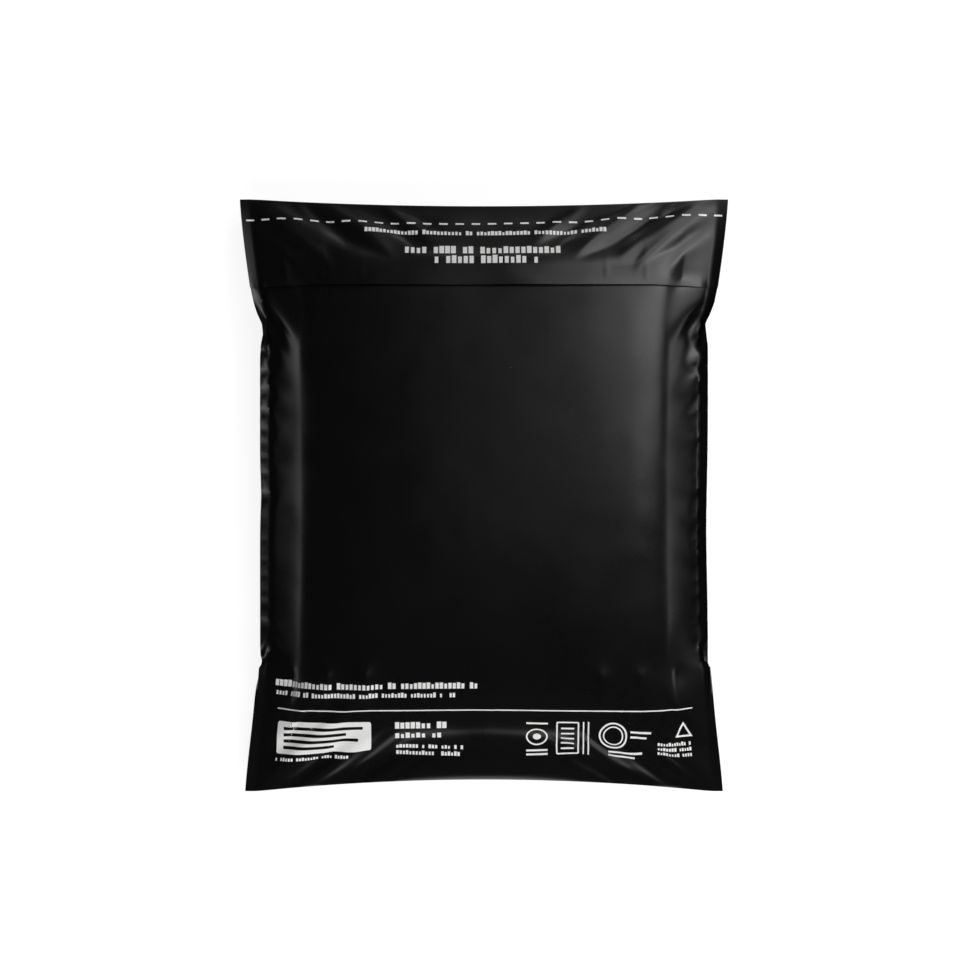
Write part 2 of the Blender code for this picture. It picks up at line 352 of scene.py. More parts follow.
def push_off_contents(film, size):
    """Moves points that are inside the contents out to their surface."""
    for panel, sign in ((FRONT, 1.0), (BACK, -1.0)):
        points = film[panel] - CONTENTS_MIDDLE
        above = points[..., 2] > 0
        out = np.minimum(np.abs(points[..., :2]) / CONTENTS_HALF, 1.0)
        tall = np.where(above, CONTENTS_UP, CONTENTS_DOWN) * size
        power = np.where(above, CONTENTS_TOP, CONTENTS_UNDER)
        up = np.abs(points[..., 2]) / tall
        full = 1 - out**CONTENTS_ROLL
        depth = up**power - full[..., 0] * full[..., 1]
        slope = np.empty_like(points)
        outwards = CONTENTS_ROLL * out ** (CONTENTS_ROLL - 1) * np.sign(points[..., :2]) / CONTENTS_HALF
        slope[..., :2] = outwards * full[..., ::-1]
        slope[..., 2] = power * up ** (power - 1) * np.sign(points[..., 2]) / tall
        steep = sign * np.maximum(np.abs(slope[..., 2]), 1.0)
        slope[..., 2] = np.where(slope[..., 2] * sign < 1.0, steep, slope[..., 2])
        squared = (slope * slope).sum(-1) + NOT_ZERO
        push = np.minimum(np.where(depth < 0, -depth / squared, 0.0), LONGEST_PUSH / np.sqrt(squared))
        film[panel] += push[..., None] * slope


def keep_apart(film, shared):
    """Lifts the front panel off the back one, joins them at the welds, and keeps both off the table."""
    overlap = np.maximum(film[BACK, ..., 2] + THINNEST_GAP - film[FRONT, ..., 2], 0)
    overlap[shared] = 0
    film[FRONT, ..., 2] += overlap / 2
    film[BACK, ..., 2] -= overlap / 2
    np.maximum(film[..., 2], 0.0, out=film[..., 2])
    film[:, shared] = film[:, shared].mean(axis=0)


width, length = 2 * CONTENTS_HALF
print(f"Contents: {width:.3f} by {length:.3f} by {CONTENTS_UP + CONTENTS_DOWN:.3f} m")

# %% [markdown]
# ## Filling the bag
# The contents start almost flat and grow to their full size while the film relaxes round them. A trace
# of air lifts the film and a trace of weight drops it. The coarse grid settles first, because it is
# quick. It is then made twice as fine, twice, and settles again, and each time smaller creases appear.

# %% Let the film settle
RIM_PULL, RIM_LIFT, END_PULL = 0.3, 0.05, 0.4
AIR, WEIGHT, SLOWING = 6e-7, 1.6e-6, 0.92
FASTEST = 0.25  # cells that a point may move in one round
GROWN_AT = 0.7  # share of a run after which the contents have their full size


def lead_rim(film, size):
    """Draws the rim of both panels a little way towards the rim of the CAD body."""
    for column, side in ((0, "left"), (-1, "right")):
        place, out, height = rim[side]
        edge = film[:, :, column]
        edge[..., 0] += RIM_PULL * min(1.0, size) * (np.interp(edge[..., 1], place, out) - edge[..., 0])
        edge[..., 2] += RIM_LIFT * (np.interp(edge[..., 1], place, height) - edge[..., 2])
    for row, side in ((0, "bottom"), (-1, "top")):
        place, out, height = rim[side]
        edge = film[:, row]
        edge[..., 1] += END_PULL * (np.interp(edge[..., 0], place, out) - edge[..., 1])
        edge[..., 2] += RIM_LIFT * (np.interp(edge[..., 0], place, height) - edge[..., 2])


def normals_of(panel):
    """Unit normals of a grid of points, upwards where it lies flat."""
    normal = np.cross(np.gradient(panel, axis=-2), np.gradient(panel, axis=-3))
    return normal / (np.linalg.norm(normal, axis=-1, keepdims=True) + NOT_ZERO)


def settle(film, steps, start_size, bends):
    """Lets the film relax round contents that grow from a share of their height to the whole of it."""
    shared = welded(film)
    fastest = FASTEST * FILM_WIDTH / (film.shape[2] - 1)
    speed = np.zeros_like(film)
    for step in range(steps):
        size = start_size + (1 - start_size) * min(1.0, step / (GROWN_AT * steps))
        before = film.copy()
        film += speed
        film[..., 2] -= WEIGHT
        blown = AIR * normals_of(film)
        film[FRONT] += blown[FRONT]
        film[BACK] -= blown[BACK]
        keep_lengths(film, bends)
        push_off_contents(film, size)
        keep_apart(film, shared)
        lead_rim(film, size)
        speed = np.clip((film - before) * SLOWING, -fastest, fastest)


def twice_as_fine(film):
    """A grid with a new point halfway between every two."""
    panels, rows, columns, _ = film.shape
    fine = np.zeros((panels, 2 * rows - 1, 2 * columns - 1, 3))
    fine[:, ::2, ::2] = film
    fine[:, 1::2, ::2] = (film[:, :-1] + film[:, 1:]) / 2
    fine[:, :, 1::2] = (fine[:, :, :-1:2] + fine[:, :, 2::2]) / 2
    return fine


def measure(film):
    """Prints the filled bag's sizes in millimetres."""
    rows, columns = film.shape[1:3]
    front = film[FRONT] * 1000
    width = front[:, -1, 0] - front[:, 0, 0]
    length = front[-1, :, 1] - front[0, :, 1]
    print(f"  waist {width[rows // 2]:.1f}, top {width[-1]:.1f}, bottom {width[0]:.1f},"
          f" height {front[..., 2].max():.1f}")
    print(f"  corner to corner {length[0]:.1f}, middle {length[columns // 2]:.1f}")


# %% Fill the bag
# Rounds, the share of its height that the filling starts from, and the bends: how many cells, how stiff
SETTLING = ((900, 0.05, ((2, 0.2), (4, 0.1))),
            (450, 1.0, ((2, 0.3), (4, 0.2))),
            (120, 1.0, ((2, 0.3), (4, 0.2))))
started = time.time()
film = flat
for level, (steps, start_size, bends) in enumerate(SETTLING):
    if level:
        film = twice_as_fine(film)
    if not (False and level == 2):
        settle(film, steps, start_size, bends)
    print(f"Level {level}: {film.shape[2]} by {film.shape[1]} points, {time.time() - started:.0f} s")
    measure(film)

# %% [markdown]
# ## The unevenness of blown film
# Recycled film is a little bumpy. It also keeps faint waves from the roll and from the contents, which
# is why its reflections have soft, wandering edges. Each wave pattern starts as a few random numbers,
# spread out over the film with a smooth bell-shaped weight, so that its size in millimetres is known.
# The welds keep still, because both films are one there.

# %% Waves in the film
FILM_HALF = 0.00015  # half of what is drawn as the film's thickness, thicker than real film
STILL_EDGE = 0.012  # over this distance from a weld or an end, the waves come up to full height
# Height and wavelength of each wave pattern, and the seed of its random numbers
FRONT_WAVES = ((0.00022, 0.045, 11), (0.00009, 0.018, 12))
BACK_WAVES = ((0.00012, 0.040, 13),)
DEEPEST_BACK_WAVE = 0.0001
KNOT_RANGE = 1.6  # random numbers up to this give a pattern from about -1 to 1

fine_rows, fine_columns = film.shape[1:3]


def bell(count, knots):
    """Weights that spread a row of knots smoothly over a row of points."""
    apart = np.abs(np.linspace(1, knots - 2, count)[:, None] - np.arange(knots)[None])
    near = (4 - 6 * apart**2 + 3 * apart**3) / 6
    far = (2 - apart).clip(0) ** 3 / 6
    return np.where(apart < 1, near, far)


def waves(shape, wavelength, seed):
    """A smooth random pattern on the film, with bumps about a wavelength apart, from about -1 to 1."""
    down = int(FILM_LENGTH / wavelength * 2 * shape[0] / fine_rows) + 4
    across = int(FILM_WIDTH / wavelength * 2) + 4
    knots = np.random.default_rng(seed).uniform(-KNOT_RANGE, KNOT_RANGE, (down, across))
    return bell(shape[0], down) @ knots @ bell(shape[1], across).T


u = np.linspace(-FILM_WIDTH / 2, FILM_WIDTH / 2, fine_columns)
v = np.linspace(-FILM_LENGTH / 2, FILM_LENGTH / 2, fine_rows)
to_weld = (FILM_WIDTH / 2 - WELD_WIDTH - np.abs(u)).clip(0)[None, :]
to_end = (FILM_LENGTH / 2 - np.abs(v)).clip(0)[:, None]
give = (np.minimum(to_weld, to_end) / STILL_EDGE).clip(0, 1)
give = give * give * (3 - 2 * give)

shape = (fine_rows, fine_columns)
front_waves = sum(high * waves(shape, apart, seed) for high, apart, seed in FRONT_WAVES)
back_waves = sum(high * waves(shape, apart, seed) for high, apart, seed in BACK_WAVES)
normal = normals_of(film)
front = film[FRONT] + normal[FRONT] * (FILM_HALF + give * front_waves)[..., None]
back = film[BACK] - normal[BACK] * (FILM_HALF + give * back_waves.clip(-DEEPEST_BACK_WAVE, 0))[..., None]
print(f"Front waves: {1000 * front_waves.min():.2f} to {1000 * front_waves.max():.2f} mm")

# %% [markdown]
# ## From points to closed film
# A mesh is made from two grids of points: the outer face, the inner or lower one, and a narrow strip
# all round that joins them, so that the shell is closed. Its UV map holds the flat film in metres: one
# unit is one metre, and what is printed at a place on the flat film is found again at that place here.

# %% Closed shells from two grids
FRONT_UV = (0.17, 0.20)  # where the middle of the front lies in the UV map
BACK_UV = (0.50, 0.20)
FLAP_UV = (0.83, 0.20)
SHARP_FROM = 60  # degrees between faces


def closed_shell(name, outer, inner, outer_uv, inner_uv):
    """A closed mesh object from two grids of points, with the flat film as its UV map."""
    rows, columns = outer.shape[:2]
    count = rows * columns
    index = np.arange(count).reshape(rows, columns)
    quads = np.stack([index[:-1, :-1], index[:-1, 1:], index[1:, 1:], index[1:, :-1]], -1).reshape(-1, 4)
    ring = np.concatenate([index[0], index[1:, -1], index[-1, -2::-1], index[-2:0:-1, 0]])
    onward = np.roll(ring, -1)
    strip = np.stack([ring + count, onward + count, onward, ring], -1)
    faces = np.concatenate([quads, quads[:, ::-1] + count, strip])
    points = np.concatenate([outer.reshape(-1, 3), inner.reshape(-1, 3)])
    mesh = bpy.data.meshes.new(name)
    mesh.from_pydata(points.tolist(), [], faces.tolist())
    places = np.concatenate([outer_uv.reshape(-1, 2), inner_uv.reshape(-1, 2)]).astype(np.float32)
    corners = faces.copy()
    corners[-len(strip):] %= count
    mesh.uv_layers.new(name="flat_film").data.foreach_set("uv", places[corners.ravel()].ravel())
    mesh.shade_smooth()
    mesh.set_sharp_from_angle(angle=math.radians(SHARP_FROM))
    thing = bpy.data.objects.new(name, mesh)
    bpy.context.collection.objects.link(thing)
    return thing


flat_uv = np.stack(np.meshgrid(u, v), -1)
bag = closed_shell("mailer_bag_film", front, back, flat_uv + FRONT_UV, flat_uv + BACK_UV)
print("Bag film:", len(bag.data.vertices), "points,", len(bag.data.polygons), "faces")

# %% [markdown]
# ## The closure flap
# The back panel is longer than the front one. Its end is folded over the top and glued down on the
# front, and the fold is the bag's top edge. The flap lies on the front film and copies its shape. Its
# free edge is straight as the camera sees it, so on the full film it is a little deeper in the middle.
# The glue under it stops short of that edge, so the last few millimetres stand off a little, and that
# is what draws the thin dark line below it. The film runs round the fold and into the back.

# %% Closure flap
FLAP_DEPTH = 0.0545  # along the film, from the top fold to the free edge
FLAP_BOW = 0.0042  # how much deeper the flap is in the middle than at the welds
BOW_POWER = 4  # a higher power keeps the bow's middle straighter
FLAP_FILM = 0.00025
FLAP_GAP = 0.00012  # between the front film and the flap
GLUE_STRIP = (0.010, 0.034)  # how far from the free edge the glue starts and ends
GLUE_HEIGHT, GLUE_SLOPE = 0.00012, 0.003
LOOSE_DEPTH, LOOSE_LIFT, LOOSE_WAVE = 0.008, 0.0008, 0.0006  # of the free edge, which isn't glued
LOOSE_WAVELENGTH, LOOSE_SEED, LOOSE_LIMITS = 0.045, 21, (-0.4, 1.4)
FLAP_WAVES = ((0.00011, 0.021, 22), (0.00022, 0.046, 23))  # height, wavelength and seed
STILL_FOLD, STILL_WELD = 0.008, 0.006  # over these distances the flap's waves come up to full height

flap_rows = round(FLAP_DEPTH / FILM_LENGTH * (fine_rows - 1))
deep = FLAP_DEPTH + FLAP_BOW * (1 - (2 * np.abs(u) / FILM_WIDTH) ** BOW_POWER)
row_sought = (fine_rows - 1) * (1 - np.linspace(1, 0, flap_rows + 1)[:, None] * deep / FILM_LENGTH)
row_below = np.minimum(row_sought.astype(int), fine_rows - 2)
row_share = (row_sought - row_below)[..., None]


def under_flap(grid):
    """The rows of a front grid that lie under the flap, between the grid's own rows where need be."""
    columns = np.arange(fine_columns)[None, :]
    return grid[row_below, columns] * (1 - row_share) + grid[row_below + 1, columns] * row_share


base = under_flap(front)
base_normal = under_flap(normals_of(front))
from_edge = np.linspace(0, FLAP_DEPTH, flap_rows + 1)[:, None]
loose = (1 - from_edge / LOOSE_DEPTH).clip(0) ** 2
edge_wave = waves((1, fine_columns), LOOSE_WAVELENGTH, LOOSE_SEED).clip(*LOOSE_LIMITS)
stands_off = LOOSE_LIFT + LOOSE_WAVE * edge_wave
glue_starts = ((from_edge - GLUE_STRIP[0]) / GLUE_SLOPE).clip(0, 1)
glue_ends = ((GLUE_STRIP[1] - from_edge) / GLUE_SLOPE).clip(0, 1)
to_fold = ((FLAP_DEPTH - from_edge) / STILL_FOLD).clip(0, 1)
shape = (flap_rows + 1, fine_columns)
mottle = sum(high * (1 + waves(shape, apart, seed)).clip(0) for high, apart, seed in FLAP_WAVES)
off_weld = (to_weld / STILL_WELD).clip(0, 1)
lift = FLAP_GAP + off_weld * (loose * stands_off + glue_starts * glue_ends * GLUE_HEIGHT + to_fold * mottle)
print(f"Flap: {flap_rows} rows, free edge {1000 * lift[0].min():.2f} to {1000 * lift[0].max():.2f} mm up")

# %% [markdown]
# ## The flap's two faces
# The flap is a shell like the bag, so it needs an upper and a lower face. Both go over the front, turn
# half a circle round the film's end, and run a little way under the back, where the end of the flap
# can't be seen because it lies inside the back film.

# %% Flap round the fold
FOLD_STEPS = 6
UNDER_ROWS = ((1, 0.6), (2, 0.0), (3, -0.8))  # rows back from the end, share of the fold's radius
FLAP_FACES_APART = (0, 0.1)  # in the UV map
outward = film[FRONT, -1] - film[FRONT, -2]
outward /= np.linalg.norm(outward, axis=-1, keepdims=True)


def flap_face(height, fold_radius):
    """One face of the flap: over the front, round the fold, and into the back panel."""
    over = base + base_normal * height[..., None]
    turned = []
    for turn in np.linspace(0, math.pi, FOLD_STEPS + 1)[1:]:
        reach = math.cos(turn) * base_normal[-1] + math.sin(turn) * outward
        turned.append(film[FRONT, -1] + fold_radius * reach)
    down = -normals_of(back)
    under = [back[-1 - k] + down[-1 - k] * (fold_radius - FILM_HALF) * share for k, share in UNDER_ROWS]
    return np.concatenate([over, turned, under])


outer = flap_face(lift + FLAP_FILM, FILM_HALF + FLAP_GAP + FLAP_FILM)
inner = flap_face(lift, FILM_HALF + FLAP_GAP)
flap_v = np.arange(len(outer)) * FILM_LENGTH / (fine_rows - 1)
flap_uv = np.stack(np.meshgrid(u, flap_v), -1) + FLAP_UV
flap = closed_shell("closure_flap", outer, inner, flap_uv, flap_uv + FLAP_FACES_APART)
print("Flap:", len(flap.data.polygons), "faces")

# %% [markdown]
# ## Black polyethylene film
# Mailing bags are blown film, usually LDPE with carbon black. Carbon black takes nearly all the light
# that enters, so what is seen is the reflection on top. The film is smooth but not polished. Its fine
# grain is drawn about 1.2 mm wide, coarser than the real one, so that it shows at this distance. A few
# gels, which are specks that didn't melt when the plastic was recycled, stand up as tiny hard points.

# %% Film material
BLACK_LDPE = linear("#0B0B0C")
GEL_GREY = linear("#5A5A5A")
LDPE_IOR = 1.51
FILM_ROUGHNESS = (0.26, 0.34)
CLOUD_SCALE, GRAIN_SCALE, GEL_SCALE = 28.0, 820.0, 42.0  # cells in a metre


def black_ldpe():
    """Blown black film: dark, fairly glossy, with a fine grain, cloudy gloss and a few gels."""
    material = bpy.data.materials.new("black_blown_LDPE")
    material.use_nodes = True
    tree = material.node_tree
    shader = tree.nodes["Principled BSDF"]
    shader.inputs["IOR"].default_value = LDPE_IOR
    place = add_node(tree, "ShaderNodeTexCoord").outputs["Object"]
    cloud = add_node(tree, "ShaderNodeTexNoise", {"Vector": place, "Scale": CLOUD_SCALE, "Detail": 3.0})
    gloss = add_node(tree, "ShaderNodeMapRange", {
        "Value": cloud.outputs["Fac"], "From Min": 0.35, "From Max": 0.65,
        "To Min": FILM_ROUGHNESS[0], "To Max": FILM_ROUGHNESS[1]})
    tree.links.new(gloss.outputs["Result"], shader.inputs["Roughness"])
    grain = add_node(tree, "ShaderNodeTexNoise", {"Vector": place, "Scale": GRAIN_SCALE, "Detail": 2.0})
    gels = add_node(tree, "ShaderNodeTexVoronoi", {"Vector": place, "Scale": GEL_SCALE})
    speck = add_node(tree, "ShaderNodeMapRange", {"Value": gels.outputs["Distance"], "From Min": 0.0,
                                                  "From Max": 0.02, "To Min": 1.0, "To Max": 0.0})
    grained = add_node(tree, "ShaderNodeBump", {"Height": grain.outputs["Fac"], "Strength": 0.25,
                                                "Distance": 0.00006})
    bumped = add_node(tree, "ShaderNodeBump", {"Height": speck.outputs["Result"], "Strength": 0.8,
                                               "Distance": 0.0002, "Normal": grained.outputs["Normal"]})
    tree.links.new(bumped.outputs["Normal"], shader.inputs["Normal"])
    colour = add_node(tree, "ShaderNodeMix", {"Factor": speck.outputs["Result"], "A": BLACK_LDPE,
                                              "B": GEL_GREY}, data_type="RGBA")
    tree.links.new(colour.outputs["Result"], shader.inputs["Base Color"])
    return material


film_black = black_ldpe()
bag.data.materials.append(film_black)
flap.data.materials.append(film_black)
print("Film colour in linear light:", [round(value, 4) for value in BLACK_LDPE[:3]])

# %% [markdown]
# ## White ink
# The print is a thin layer of opaque white ink. It is matter than the film and follows every wave in
# it. Each printed shape is first laid out flat, in metres from the middle of the bag, just as a printer
# would do it. Geometry Nodes then look up, for each of its points, where that place on the flat film
# has gone to, and put the point there. Two nodes do it: Sample UV Surface reads the film's position
# at a place of its UV map, and Set Position moves the point. Extrude Mesh gives the ink its thickness.
# Every tree ends in Realize Instances and Set Material, because the export takes only real geometry.

# %% Ink material
def white_ink():
    """Opaque white flexo ink, matter than film, with a faint mottle where it took unevenly."""
    material = bpy.data.materials.new("white_flexo_ink")
    material.use_nodes = True
    tree = material.node_tree
    shader = tree.nodes["Principled BSDF"]
    place = add_node(tree, "ShaderNodeTexCoord").outputs["Object"]
    mottle = add_node(tree, "ShaderNodeTexNoise", {"Vector": place, "Scale": 900.0, "Detail": 2.0})
    colour = add_node(tree, "ShaderNodeMix", {"Factor": mottle.outputs["Fac"], "A": linear("#F0F0EE"),
                                              "B": linear("#FCFCFA")}, data_type="RGBA")
    tree.links.new(colour.outputs["Result"], shader.inputs["Base Color"])
    shader.inputs["Roughness"].default_value = 0.5
    return material


ink_white = white_ink()
print("Ink:", ink_white.name)

# %% A node group that lays flat shapes on the film
INK_THICKNESS = 0.00003


def group_with(name, inputs):
    """A node group with a Geometry input and output and the named inputs, and its input node."""
    tree = bpy.data.node_groups.new(name, "GeometryNodeTree")
    tree.interface.new_socket("Geometry", in_out="INPUT", socket_type="NodeSocketGeometry")
    for label, kind in inputs.items():
        tree.interface.new_socket(label, in_out="INPUT", socket_type=kind)
    tree.interface.new_socket("Geometry", in_out="OUTPUT", socket_type="NodeSocketGeometry")
    return tree, add_node(tree, "NodeGroupInput")


def end_in_ink(tree, geometry, ink):
    """Ends a tree: instances become plain geometry, which takes the ink's material."""
    real = add_node(tree, "GeometryNodeRealizeInstances", {"Geometry": geometry})
    inked = add_node(tree, "GeometryNodeSetMaterial", {"Geometry": real.outputs[0], "Material": ink})
    add_node(tree, "NodeGroupOutput", {0: inked.outputs[0]})


LAY_INPUTS = {"Film": "NodeSocketObject", "Middle": "NodeSocketVector", "Lift": "NodeSocketFloat",
              "Ink": "NodeSocketMaterial"}
lay, given = group_with("lay_on_film", LAY_INPUTS)
surface = add_node(lay, "GeometryNodeObjectInfo", {"Object": given.outputs["Film"]},
                   transform_space="RELATIVE")
flat_map = add_node(lay, "GeometryNodeInputNamedAttribute", {"Name": "flat_film"},
                    data_type="FLOAT_VECTOR")
flat_place = add_node(lay, "GeometryNodeInputPosition")
sought = add_node(lay, "ShaderNodeVectorMath", {0: flat_place.outputs[0], 1: given.outputs["Middle"]},
                  operation="ADD")
found = []
for field in (add_node(lay, "GeometryNodeInputPosition"), add_node(lay, "GeometryNodeInputNormal")):
    sample = add_node(lay, "GeometryNodeSampleUVSurface", {
        "Mesh": surface.outputs["Geometry"], "Value": field.outputs[0],
        "Source UV Map": flat_map.outputs["Attribute"], "Sample UV": sought.outputs[0]},
        data_type="FLOAT_VECTOR")
    found.append(sample.outputs["Value"])
raised = add_node(lay, "ShaderNodeVectorMath", {0: found[1], "Scale": given.outputs["Lift"]},
                  operation="SCALE")
place = add_node(lay, "ShaderNodeVectorMath", {0: found[0], 1: raised.outputs[0]}, operation="ADD")
loose_shapes = add_node(lay, "GeometryNodeRealizeInstances", {"Geometry": given.outputs["Geometry"]})
laid = add_node(lay, "GeometryNodeSetPosition", {
    "Geometry": loose_shapes.outputs[0], "Position": place.outputs[0]})
top = add_node(lay, "GeometryNodeExtrudeMesh", {"Mesh": laid.outputs[0], "Offset Scale": INK_THICKNESS,
                                                "Individual": False})
under = add_node(lay, "GeometryNodeFlipFaces", {"Mesh": laid.outputs[0]})
both = add_node(lay, "GeometryNodeJoinGeometry", {"Geometry": top.outputs["Mesh"]})
lay.links.new(under.outputs[0], both.inputs[0])
closed = add_node(lay, "GeometryNodeMergeByDistance", {
    "Geometry": both.outputs[0], "Distance": INK_THICKNESS / 10})
end_in_ink(lay, closed.outputs[0], given.outputs["Ink"])
print("Nodes in", lay.name + ":", len(lay.nodes))

# %% [markdown]
# ## From a tree to a mesh
# A modifier runs a node tree on an object, and each of its inputs is set by the socket's identifier,
# not by its name. The object's evaluated copy then holds what the tree made. new_from_object turns that
# into a plain mesh, which needs neither the tree nor the modifier any more and can be exported.

# %% A tree runs on an object and leaves a plain mesh
FRONT_MIDDLE = (*FRONT_UV, 0.0)


def printed(name, tree, values, mesh=None):
    """A plain mesh object that a node tree makes from values for its named inputs."""
    maker = bpy.data.objects.new(name + "_maker", mesh or bpy.data.meshes.new(name + "_flat"))
    bpy.context.collection.objects.link(maker)
    modifier = maker.modifiers.new("print", "NODES")
    modifier.node_group = tree
    items = tree.interface.items_tree
    sockets = {item.name: item.identifier for item in items if item.in_out == "INPUT"}
    for label, value in values.items():
        modifier[sockets[label]] = value
    ready = maker.evaluated_get(bpy.context.evaluated_depsgraph_get())
    result = bpy.data.objects.new(name, bpy.data.meshes.new_from_object(ready))
    result.data.name = name
    bpy.context.collection.objects.link(result)
    bpy.data.objects.remove(maker)
    return result


# %% [markdown]
# ## The dashed cut line
# A row of white dashes along the flap shows where to cut the bag open. All dashes are alike, so one
# dash is made once and put on each point of a line. Its length and spacing are inputs of the tree.
# What the tree made flat goes through the group above, as one node, to be laid on the film.

# %% Dashed line on the flap
DASHES = {"Count": 30, "Pitch": 0.0103, "Length": 0.0054, "Thickness": 0.0011, "Slope": 0.010}
DASH_ROW_FROM_EDGE = 0.0441  # along the flap, from its free edge
FLAP_MIDDLE = (FLAP_UV[0], FLAP_UV[1] + DASH_ROW_FROM_EDGE, 0.0)
INK_LIFT = 0.00005


def lay_as_ink(tree, given, shapes):
    """Ends a tree: its flat shapes are laid on the film, and come out in ink."""
    values = {label: given.outputs[label] for label in LAY_INPUTS}
    laid = add_node(tree, "GeometryNodeGroup", {"Geometry": shapes, **values}, node_tree=lay)
    end_in_ink(tree, laid.outputs[0], given.outputs["Ink"])


dash_inputs = {"Count": "NodeSocketInt", "Pitch": "NodeSocketFloat", "Length": "NodeSocketFloat",
               "Thickness": "NodeSocketFloat", "Slope": "NodeSocketFloat", **LAY_INPUTS}
cut_line_tree, given = group_with("dashed_cut_line", dash_inputs)
drop = calculate(cut_line_tree, "MULTIPLY", given.outputs["Pitch"], given.outputs["Slope"])
step = add_node(cut_line_tree, "ShaderNodeCombineXYZ", {0: given.outputs["Pitch"], 1: drop})
last = calculate(cut_line_tree, "SUBTRACT", given.outputs["Count"], 1.0)
half = calculate(cut_line_tree, "MULTIPLY", last, -0.5)
start = add_node(cut_line_tree, "ShaderNodeVectorMath", {0: step.outputs[0], "Scale": half},
                 operation="SCALE")
line = add_node(cut_line_tree, "GeometryNodeMeshLine", {
    "Count": given.outputs["Count"], "Offset": step.outputs[0], "Start Location": start.outputs[0]})
dash = add_node(cut_line_tree, "GeometryNodeMeshGrid", {
    "Size X": given.outputs["Length"], "Size Y": given.outputs["Thickness"],
    "Vertices X": 6, "Vertices Y": 3})
row = add_node(cut_line_tree, "GeometryNodeInstanceOnPoints", {
    "Points": line.outputs[0], "Instance": dash.outputs[0]})
lay_as_ink(cut_line_tree, given, row.outputs[0])
cut_line = printed("printed_cut_line", cut_line_tree, {
    **DASHES, "Film": flap, "Middle": FLAP_MIDDLE, "Lift": INK_LIFT, "Ink": ink_white})
print("Cut line:", len(cut_line.data.polygons), "faces")

# %% [markdown]
# ## Lines of small print
# Small print on the real bag can't be read from where the camera stands. It is drawn as printers do
# when the words don't matter: rows of plain blocks, about as wide and as high as letters. The blocks
# stand on one line, every so often one is left out for a gap, and their sizes are random but seeded.

# %% Rows of small print
BLOCK_WIDTHS = (0.56, 0.86)  # shares of the pitch
BLOCK_HEIGHTS = (0.66, 1.0)  # shares of the row's height
print_inputs = {"Start": "NodeSocketVector", "Count": "NodeSocketInt", "Pitch": "NodeSocketFloat",
                "Height": "NodeSocketFloat", "Gaps": "NodeSocketFloat", "Seed": "NodeSocketInt",
                **LAY_INPUTS}
small_print_tree, given = group_with("small_print", print_inputs)
step = add_node(small_print_tree, "ShaderNodeCombineXYZ", {0: given.outputs["Pitch"]})
line = add_node(small_print_tree, "GeometryNodeMeshLine", {
    "Count": given.outputs["Count"], "Start Location": given.outputs["Start"], "Offset": step.outputs[0]})
gap = add_node(small_print_tree, "FunctionNodeRandomValue", {
    "Probability": given.outputs["Gaps"], "Seed": given.outputs["Seed"]}, data_type="BOOLEAN")
words = add_node(small_print_tree, "GeometryNodeDeleteGeometry", {
    "Geometry": line.outputs[0], "Selection": gap.outputs[3]}, domain="POINT")
block = add_node(small_print_tree, "GeometryNodeMeshGrid", {
    "Size X": 1.0, "Size Y": 1.0, "Vertices X": 3, "Vertices Y": 4})
standing = add_node(small_print_tree, "GeometryNodeTransform", {
    "Geometry": block.outputs[0], "Translation": (0, 0.5, 0)})
sides = []
for (least, most), unit in ((BLOCK_WIDTHS, "Pitch"), (BLOCK_HEIGHTS, "Height")):
    share = add_node(small_print_tree, "FunctionNodeRandomValue", {
        "Min": least, "Max": most, "Seed": given.outputs["Seed"]}, data_type="FLOAT")
    sides.append(calculate(small_print_tree, "MULTIPLY", share.outputs[1], given.outputs[unit]))
size = add_node(small_print_tree, "ShaderNodeCombineXYZ", {0: sides[0], 1: sides[1], 2: 1.0})
row = add_node(small_print_tree, "GeometryNodeInstanceOnPoints", {
    "Points": words.outputs[0], "Instance": standing.outputs[0], "Scale": size.outputs[0]})
lay_as_ink(small_print_tree, given, row.outputs[0])
print("Small print tree:", len(small_print_tree.nodes), "nodes")

# %% Where each row of small print stands
# Start and end across, foot of the row, height and pitch of its blocks, all in millimetres
FLAP_PRINT = ((-75.0, 77.0, 35.9, 3.2, 2.3), (-49.0, 50.0, 21.3, 6.2, 3.7), (-30.0, 32.0, 14.0, 6.2, 3.7))
BODY_PRINT = ((-140.0, -6.0, -120.0, 4.2, 2.8), (-139.5, -19.5, -125.7, 3.4, 2.1),
              (-136.0, -89.0, -168.4, 2.4, 1.8),
              (-56.5, -27.0, -147.6, 5.2, 3.4), (-56.5, -27.0, -156.1, 5.2, 3.4),
              (-56.5, -14.0, -164.5, 3.0, 2.1), (-56.5, -14.0, -169.1, 3.0, 2.1),
              (114.0, 137.0, -158.0, 2.4, 1.8), (114.0, 136.5, -161.6, 2.4, 1.8),
              (114.0, 136.0, -165.2, 2.4, 1.8))
GAP_SHARE = 0.14  # of the blocks, left out as gaps between words


def rows_of_print(name, rows, film_piece, middle):
    """All rows of small print on one piece of film, joined into one mesh."""
    made = []
    for seed, (start, end, foot, height, pitch) in enumerate(rows):
        made.append(printed(f"{name}_{seed}", small_print_tree, {
            "Start": (start / 1000, foot / 1000, 0.0),
            "Count": round((end - start) / pitch) + 1,
            "Pitch": pitch / 1000, "Height": height / 1000, "Gaps": GAP_SHARE, "Seed": seed,
            "Film": film_piece, "Middle": middle, "Lift": INK_LIFT, "Ink": ink_white}))
    with bpy.context.temp_override(active_object=made[0], selected_editable_objects=made):
        bpy.ops.object.join()
    made[0].name = name
    return made[0]


flap_print = rows_of_print("printed_rows_on_flap", FLAP_PRINT, flap, (*FLAP_UV, 0.0))
body_print = rows_of_print("printed_rows_on_front", BODY_PRINT, bag, FRONT_MIDDLE)
print("Rows:", len(flap_print.data.polygons) + len(body_print.data.polygons), "faces")

